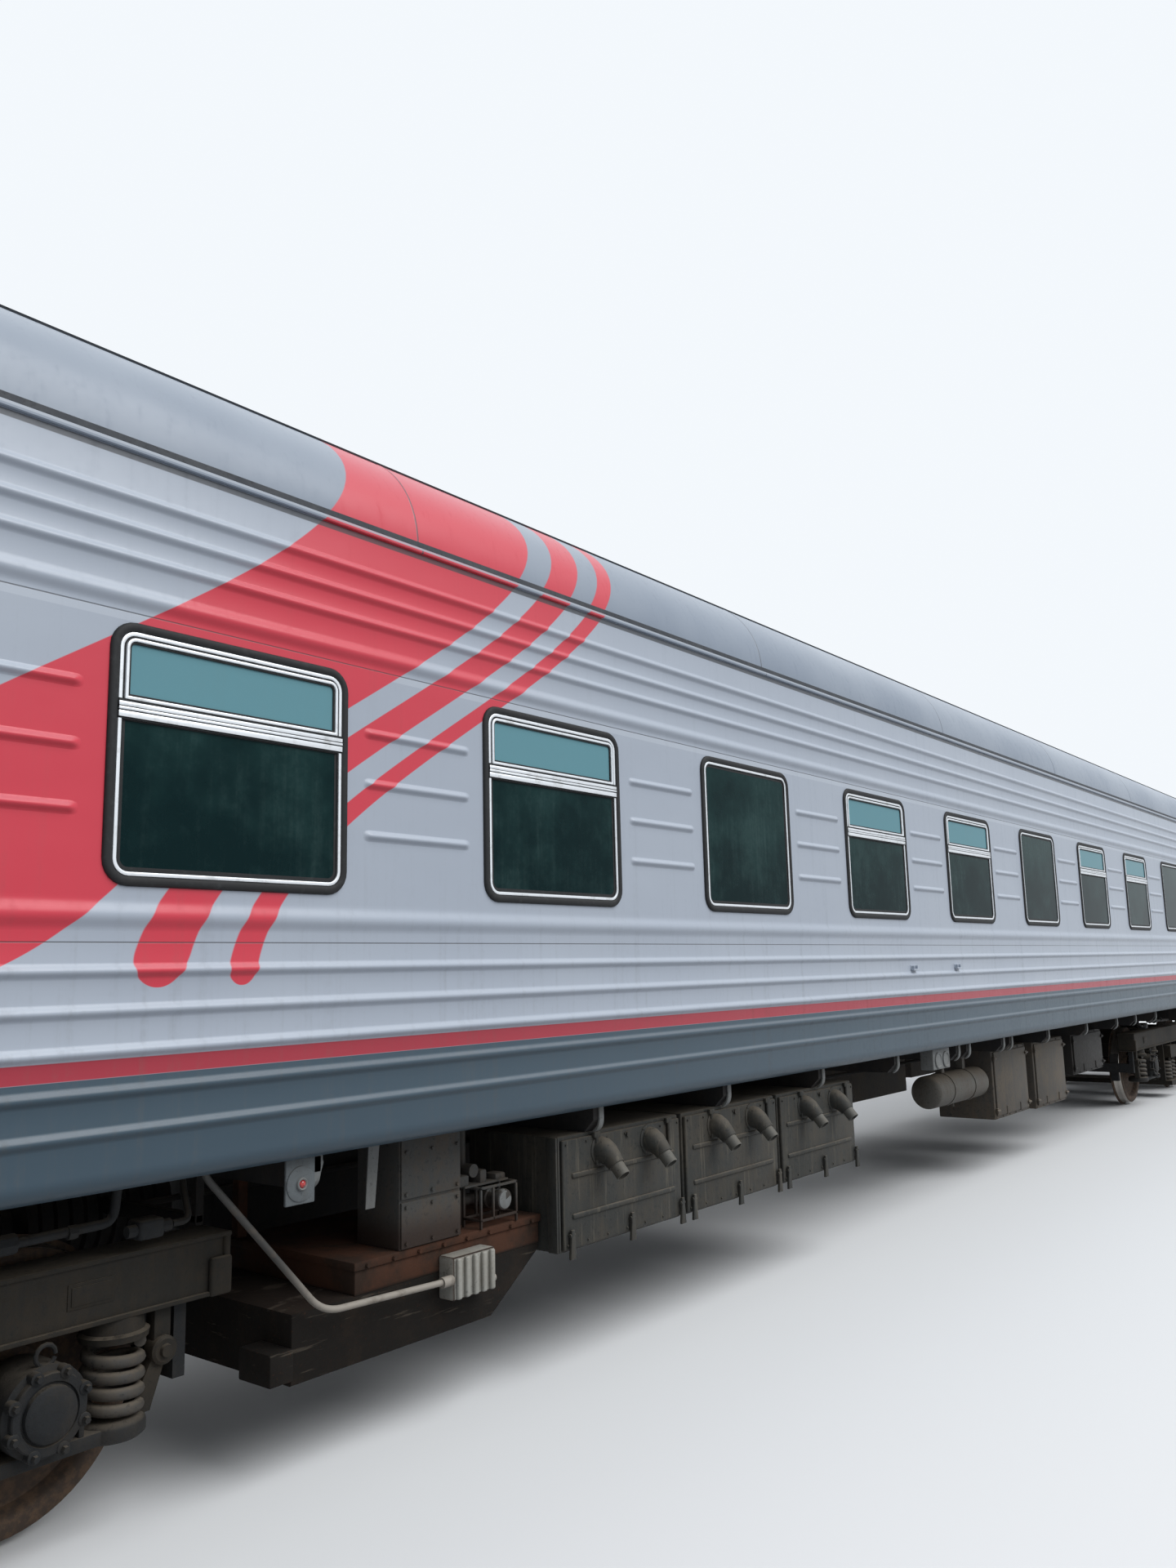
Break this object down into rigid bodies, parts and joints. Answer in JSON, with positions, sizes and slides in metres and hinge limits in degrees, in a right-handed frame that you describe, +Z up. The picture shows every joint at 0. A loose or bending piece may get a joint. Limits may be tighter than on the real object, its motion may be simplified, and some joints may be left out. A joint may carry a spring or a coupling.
{
  "type": "open-plan sleeping coach for 1520 mm gauge",
  "caption": "Passenger coach with ribbed steel sides, sash windows, grey vaulted roof, side and end doors, underfloor boxes and two-axle coil-sprung bogies with turning wheelsets.",
  "frame": {"origin": "midway along the coach and across it, on the floor that the wheel flanges stand on, one flange depth below the rail head", "axes": "+X along the coach, the near side with the aisle faces -Y, +Z up"},
  "size_m": [24.8, 3.2, 4.535],
  "materials": {
    "body_paint": "light grey gloss paint, dusty",
    "roof_paint": "mid grey paint, dusty",
    "window_rubber": "black rubber",
    "gangway_rubber": "black rubber",
    "pane_glass": "clear glass",
    "laminate": "pale laminate",
    "berth_cover": "dark padded cover",
    "underframe_paint": "dark grey paint, dirty",
    "rail_metal": "worn metal",
    "box_paint": "dark grey paint, dirty",
    "rusty_steel": "rusty sheet",
    "cast_parts": "dark casting",
    "wheel_steel": "brown forged steel with a bright tread",
    "spring_steel": "dark paint, dusty",
    "bogie_paint": "dark grey paint, dirty"
  },
  "bodies": {
    "coach_body": {"side_wall_near": "body_paint", "side_wall_far": "body_paint", "roof": "roof_paint", "end_walls": "body_paint", "gangways": "gangway_rubber", "window_frames_near": "window_rubber", "window_frames_far": "window_rubber", "window_panes_near": "pane_glass", "window_panes_far": "pane_glass", "floor": "laminate", "partitions": "laminate", "berths": "berth_cover", "tables": "laminate", "side_sills": "underframe_paint", "cross_bearers": "underframe_paint", "draft_sills": "underframe_paint", "buffer_beams": "underframe_paint", "buffers": "cast_parts", "couplers": "cast_parts", "entrance_steps": "underframe_paint", "handrails": "rail_metal", "battery_boxes": "box_paint", "heater_trough": "rusty_steel", "air_duct": "box_paint", "heater_conduit": "underframe_paint", "valve_cage": "underframe_paint", "lamp_plates": "underframe_paint", "air_reservoirs": "underframe_paint", "equipment_cabinets": "box_paint", "roof_vents": "roof_paint"},
    "door_near_left": {"door_near_left": "body_paint", "door_pane_near_left": "pane_glass"},
    "door_near_right": {"door_near_right": "body_paint", "door_pane_near_right": "pane_glass"},
    "door_far_left": {"door_far_left": "body_paint", "door_pane_far_left": "pane_glass"},
    "door_far_right": {"door_far_right": "body_paint", "door_pane_far_right": "pane_glass"},
    "end_door_left": {"end_door_left": "body_paint", "end_door_pane_left": "pane_glass"},
    "end_door_right": {"end_door_right": "body_paint", "end_door_pane_right": "pane_glass"},
    "bogie_left": {"bogie_frame_left": "bogie_paint", "bogie_bolster_left": "bogie_paint", "springs_left": "spring_steel", "axle_boxes_left": "bogie_paint", "brake_gear_left": "bogie_paint"},
    "wheelset_left_a": {"wheels_left_a": "wheel_steel", "axle_left_a": "wheel_steel"},
    "wheelset_left_b": {"wheels_left_b": "wheel_steel", "axle_left_b": "wheel_steel"},
    "bogie_right": {"bogie_frame_right": "bogie_paint", "bogie_bolster_right": "bogie_paint", "springs_right": "spring_steel", "axle_boxes_right": "bogie_paint", "brake_gear_right": "bogie_paint"},
    "wheelset_right_a": {"wheels_right_a": "wheel_steel", "axle_right_a": "wheel_steel"},
    "wheelset_right_b": {"wheels_right_b": "wheel_steel", "axle_right_b": "wheel_steel"}
  },
  "joints": [
    {"name": "door_near_left_hinge", "type": "hinge", "parent": "coach_body", "child": "door_near_left", "pos_m": [-10.853, -1.45, 2.3], "axis": [0, 0, -1], "range_deg": [0, 90]},
    {"name": "door_near_right_hinge", "type": "hinge", "parent": "coach_body", "child": "door_near_right", "pos_m": [10.853, -1.45, 2.3], "axis": [0, 0, 1], "range_deg": [0, 90]},
    {"name": "door_far_left_hinge", "type": "hinge", "parent": "coach_body", "child": "door_far_left", "pos_m": [-10.853, 1.45, 2.3], "axis": [0, 0, 1], "range_deg": [0, 90]},
    {"name": "door_far_right_hinge", "type": "hinge", "parent": "coach_body", "child": "door_far_right", "pos_m": [10.853, 1.45, 2.3], "axis": [0, 0, -1], "range_deg": [0, 90]},
    {"name": "end_door_left_hinge", "type": "hinge", "parent": "coach_body", "child": "end_door_left", "pos_m": [-11.72, 0.387, 2.3], "axis": [0, 0, 1], "range_deg": [0, 90]},
    {"name": "end_door_right_hinge", "type": "hinge", "parent": "coach_body", "child": "end_door_right", "pos_m": [11.72, 0.387, 2.3], "axis": [0, 0, -1], "range_deg": [0, 90]},
    {"name": "bogie_left_pivot", "type": "hinge", "parent": "coach_body", "child": "bogie_left", "pos_m": [-8.5, 0, 0.9], "axis": [0, 0, 1], "range_deg": [-4, 4]},
    {"name": "wheelset_left_a_spin", "type": "hinge", "parent": "bogie_left", "child": "wheelset_left_a", "pos_m": [-9.7, 0, 0.5065], "axis": [0, 1, 0], "continuous": true},
    {"name": "wheelset_left_b_spin", "type": "hinge", "parent": "bogie_left", "child": "wheelset_left_b", "pos_m": [-7.3, 0, 0.5065], "axis": [0, 1, 0], "continuous": true},
    {"name": "bogie_right_pivot", "type": "hinge", "parent": "coach_body", "child": "bogie_right", "pos_m": [8.5, 0, 0.9], "axis": [0, 0, 1], "range_deg": [-4, 4]},
    {"name": "wheelset_right_a_spin", "type": "hinge", "parent": "bogie_right", "child": "wheelset_right_a", "pos_m": [7.3, 0, 0.5065], "axis": [0, 1, 0], "continuous": true},
    {"name": "wheelset_right_b_spin", "type": "hinge", "parent": "bogie_right", "child": "wheelset_right_b", "pos_m": [9.7, 0, 0.5065], "axis": [0, 1, 0], "continuous": true}
  ]
}
